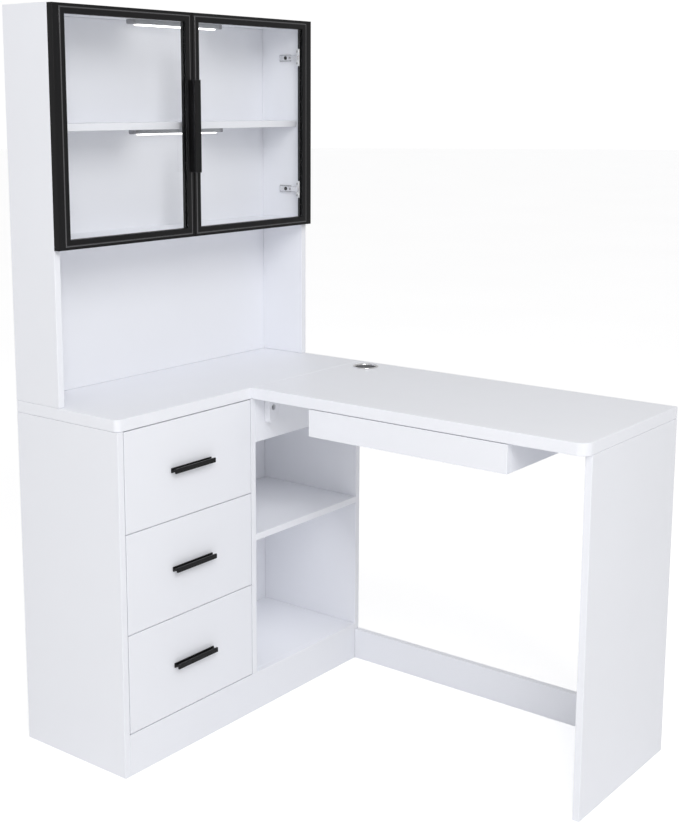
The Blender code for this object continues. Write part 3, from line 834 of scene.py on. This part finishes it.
def hinge_arm(side, level, looks):
    """The arm on the side panel: a base plate, a raised spine that narrows to its nose, and two screws."""
    name = f"hinge_arm_{side}_{level}"
    low, high = box(name)
    sign = 1 if side == "right" else -1
    root = high[0] if side == "right" else low[0]
    middle = (low[2] + high[2]) / 2
    start, end = low[1], high[1]
    plate_low = np.array([min(root, root - sign * ARM_PLATE), start + ARM_PLATE_START, low[2]])
    plate_high = np.array([max(root, root - sign * ARM_PLATE), end, high[2]])
    plate = skin(f"{name}_plate", slab_rings(plate_low, plate_high, 0.0008, SQUARE))
    # Painted shade: the base plate takes the darker nickel, the spine keeps the bright one
    piece(plate, looks["arm"], CARCASS, (name,))
    rise, top, nose = sign * ARM_RISE, sign * ARM_TOP, sign * ARM_NOSE
    outline = np.array([(root - rise, end - 0.003), (root - top, end - 0.006), (root - top, start + 0.016),
                        (root - nose, start + 0.004), (root - nose, start), (root - rise, start + 0.004)])
    spine = extrusion(f"{name}_spine", outline, "z", middle - ARM_HALF_HEIGHT, middle + ARM_HALF_HEIGHT)
    piece(spine, looks["chrome"], CARCASS, (name,), bevel=0.0014, steps=3)
    for index, (along, radius, look) in enumerate(ARM_SCREWS):
        screw(f"{name}_screw_{index}", (root - top, start + along, middle), "x", -sign, radius, CARCASS,
              looks[look], 0.0009)


def hinge_cup(side, level, looks):
    """The cup plate on the stile: a thin plate with a rounded boss and a screw at each end."""
    name = f"hinge_plate_{side}_{level}"
    low, high = box(name)
    sign = 1 if side == "right" else -1
    wall = high[0] if side == "right" else low[0]
    body = BODY_OF[name]
    middle = (low + high) / 2
    plate = skin(f"{name}_plate", slab_rings(low, high, 0.0006, SQUARE))
    piece(plate, looks["cup"], body, (name,))
    reach = (high[1] - low[1]) / 2
    face = wall - sign * (high[0] - low[0])
    profile = np.concatenate([arc((0.0, 0.0), (reach, CUP_BOSS), 0, 90, 8)[:-1], [(0.0001, CUP_BOSS)]])
    inset = reach + CUP_BOSS_FROM_END
    for index, height in enumerate((low[2] + inset, high[2] - inset)):
        boss = skin(f"{name}_boss_{index}",
                    turned_rings((face, middle[1], height), "x", profile, 32, -sign))
        piece(boss, looks["cup"], body)
        screw(f"{name}_screw_{index}", (face - sign * 0.0026, middle[1], height), "x", -sign, 0.0026, body,
              looks["screw"], 0.0007)
    tip = wall - sign * KNUCKLE_REACH
    knuckle_low = np.array([min(wall, tip), low[1] + 0.002, middle[2] - KNUCKLE_HALF_HEIGHT])
    knuckle_high = np.array([max(wall, tip), high[1], middle[2] + KNUCKLE_HALF_HEIGHT])
    knuckle = skin(f"{name}_knuckle", slab_rings(knuckle_low, knuckle_high, 0.0015, SQUARE))
    piece(knuckle, looks["chrome"], body)


class CORNERDESK_OT_lights(bpy.types.Operator):
    """The two light bars, with end caps and lit diffusers"""

    bl_idname = "corner_desk.lights"
    bl_label = "Light bars"

    def execute(self, context):
        looks = looks_for(context.scene.desk_finish)
        for level in ("upper", "lower"):
            low, high = box(f"light_bar_{level}")
            lens_low, lens_high = box(f"light_lens_{level}")
            cap, corner = LAMP_CAP, LAMP_CORNER
            outline = np.concatenate([
                arc((low[1] + corner, low[2] + corner), (corner, corner), 180, 270, 5),
                arc((high[1] - corner, low[2] + corner), (corner, corner), 270, 360, 5),
                [(high[1], high[2]), (low[1], high[2])],
            ])
            middle = extrusion(f"light_body_{level}", outline, "x", low[0] + cap, high[0] - cap)
            piece(middle, looks["lamp"], CARCASS, (f"light_bar_{level}",), bevel=0.0003)
            for end, start, stop in (("left", low[0], low[0] + cap - HAIRLINE / 3),
                                     ("right", high[0] - cap + HAIRLINE / 3, high[0])):
                ending = extrusion(f"light_cap_{level}_{end}", outline, "x", start, stop)
                piece(ending, looks["cap"], CARCASS, bevel=0.0006)
            across = (lens_low[1] + lens_high[1]) / 2
            half = (lens_high[1] - lens_low[1]) / 2
            bowl = arc((across, lens_high[2]), (half, lens_high[2] - lens_low[2]), 180, 360, 12)
            lens = extrusion(f"light_diffuser_{level}", bowl, "x", lens_low[0], lens_high[0])
            piece(lens, looks["glow"], CARCASS, (f"light_lens_{level}",), bevel=0.0002)
        return {"FINISHED"}


class CORNERDESK_OT_stage(bpy.types.Operator):
    """Floor, surroundings, lights and camera"""

    bl_idname = "corner_desk.stage"
    bl_label = "Stage"

    def execute(self, context):
        sizes = context.scene.desk_stage
        scene = context.scene
        scene.view_settings.view_transform = "Standard"
        make_floor(sizes)
        make_surroundings(sizes, scene)
        soft_light("side", (-3.6, -0.2, 1.3), (0.0, 0.0, 0.7), 2.2, sizes.side_power)
        soft_light("high", (-2.0, -2.4, 3.2), (0.1, 0.0, 0.6), 2.0, sizes.high_power)
        soft_light("upper_fill", (0.19, 0.29, 0.62), (0.17, 0.54, 0.42), 0.12, 0.7 * sizes.bay_power)
        soft_light("lower_fill", (0.19, 0.28, 0.36), (0.17, 0.54, 0.16), 0.12, sizes.bay_power)
        camera = bpy.data.cameras.new("camera")
        camera.lens = sizes.lens
        camera.sensor_width = 36.0
        camera.shift_x, camera.shift_y = sizes.shift
        holder = bpy.data.objects.new("camera", camera)
        scene.collection.objects.link(holder)
        holder.location = sizes.camera_place
        holder.rotation_euler = (np.pi / 2 - sizes.camera_tilt, 0.0, -sizes.camera_turn)
        scene.camera = holder
        return {"FINISHED"}


def make_floor(sizes):
    """A round floor: rings of points whose radius grows by the square of the ring's number."""
    rings, steps, reach = 12, 96, 40.0
    out = reach * (np.arange(rings) / (rings - 1))[:, None] ** 2
    angle = np.linspace(0, 2 * np.pi, steps, endpoint=False)[None]
    points = np.stack([out * np.cos(angle), out * np.sin(angle), np.zeros((rings, steps))], axis=-1)
    _, faces = ring_quads(rings, steps, False)
    mesh = mesh_of("floor", points.reshape(-1, 3), faces)
    look, tree, shader = new_look("pale_floor")
    shade_of = spread(tree, grain(tree, 0.8, 2.0), 0.0, 1.0)
    pale = tinted(tree, shade_of, (0.90, 0.90, 0.905), (0.92, 0.92, 0.925))
    tree.links.new(pale, shader.inputs["Base Color"])
    shader.inputs["Roughness"].default_value = 0.9
    shader.inputs["Emission Color"].default_value = (1.0, 1.0, 1.0, 1.0)
    seen = node(tree, "ShaderNodeLightPath").outputs["Is Camera Ray"]
    glow = node(tree, "ShaderNodeMath", {0: seen, 1: sizes.floor_glow}, operation="MULTIPLY").outputs[0]
    tree.links.new(glow, shader.inputs["Emission Strength"])
    mesh.materials.append(look)
    floor = bpy.data.objects.new("floor", mesh)
    bpy.context.scene.collection.objects.link(floor)


def make_surroundings(sizes, scene):
    """An even white surround that shines less than it shows."""
    world = bpy.data.worlds.new("surround")
    world.use_nodes = True
    tree = world.node_tree
    seen = node(tree, "ShaderNodeLightPath").outputs["Is Camera Ray"]
    power = node(tree, "ShaderNodeMapRange", {"Value": seen, "To Min": sizes.ambient, "To Max": sizes.backdrop})
    background = tree.nodes["Background"]
    background.inputs["Color"].default_value = (1.0, 1.0, 1.0, 1.0)
    tree.links.new(power.outputs[0], background.inputs["Strength"])
    scene.world = world


def soft_light(name, place, towards, size, power):
    """A square soft light at a place, turned towards a point and not seen itself."""
    lamp = bpy.data.lights.new(name, "AREA")
    lamp.energy = power
    lamp.size = size
    holder = bpy.data.objects.new(name, lamp)
    bpy.context.scene.collection.objects.link(holder)
    holder.location = place
    holder.visible_camera = False
    holder.visible_glossy = size > 1.0
    way = Vector(towards) - Vector(place)
    holder.rotation_euler = way.to_track_quat("-Z", "Y").to_euler()


class CORNERDESK_PT_panel(bpy.types.Panel):
    """Lists the desk's pieces and their sizes"""

    bl_idname = "CORNERDESK_PT_panel"
    bl_label = "Corner desk"
    bl_space_type = "VIEW_3D"
    bl_region_type = "UI"
    bl_category = "Corner desk"

    def draw(self, context):
        for operator in OPERATORS:
            self.layout.operator(operator.bl_idname)
        for name, group in SETTINGS:
            column = self.layout.column()
            for prop in group.__annotations__:
                column.prop(getattr(context.scene, name), prop)


SETTINGS = (
    ("desk_finish", FinishSettings),
    ("desk_boards", BoardSettings),
    ("desk_doors", DoorSettings),
    ("desk_stage", StageSettings),
)
OPERATORS = (
    CORNERDESK_OT_stage,
    CORNERDESK_OT_cabinet,
    CORNERDESK_OT_desk,
    CORNERDESK_OT_corner_block,
    CORNERDESK_OT_hutch,
    CORNERDESK_OT_drawers,
    CORNERDESK_OT_pencil_drawer,
    CORNERDESK_OT_doors,
    CORNERDESK_OT_hinges,
    CORNERDESK_OT_lights,
)


def register():
    """Registers the settings, the operators and the panel."""
    for name, group in SETTINGS:
        bpy.utils.register_class(group)
        setattr(bpy.types.Scene, name, bpy.props.PointerProperty(type=group))
    for operator in OPERATORS:
        bpy.utils.register_class(operator)
    bpy.utils.register_class(CORNERDESK_PT_panel)


def unregister():
    """Removes what register added, in the opposite order."""
    bpy.utils.unregister_class(CORNERDESK_PT_panel)
    for operator in reversed(OPERATORS):
        bpy.utils.unregister_class(operator)
    for name, group in reversed(SETTINGS):
        delattr(bpy.types.Scene, name)
        bpy.utils.unregister_class(group)


def main():
    """Makes every piece in order."""
    register()
    for operator in OPERATORS:
        group, name = operator.bl_idname.split(".")
        getattr(getattr(bpy.ops, group), name)()


if __name__ == "__main__":
    main()
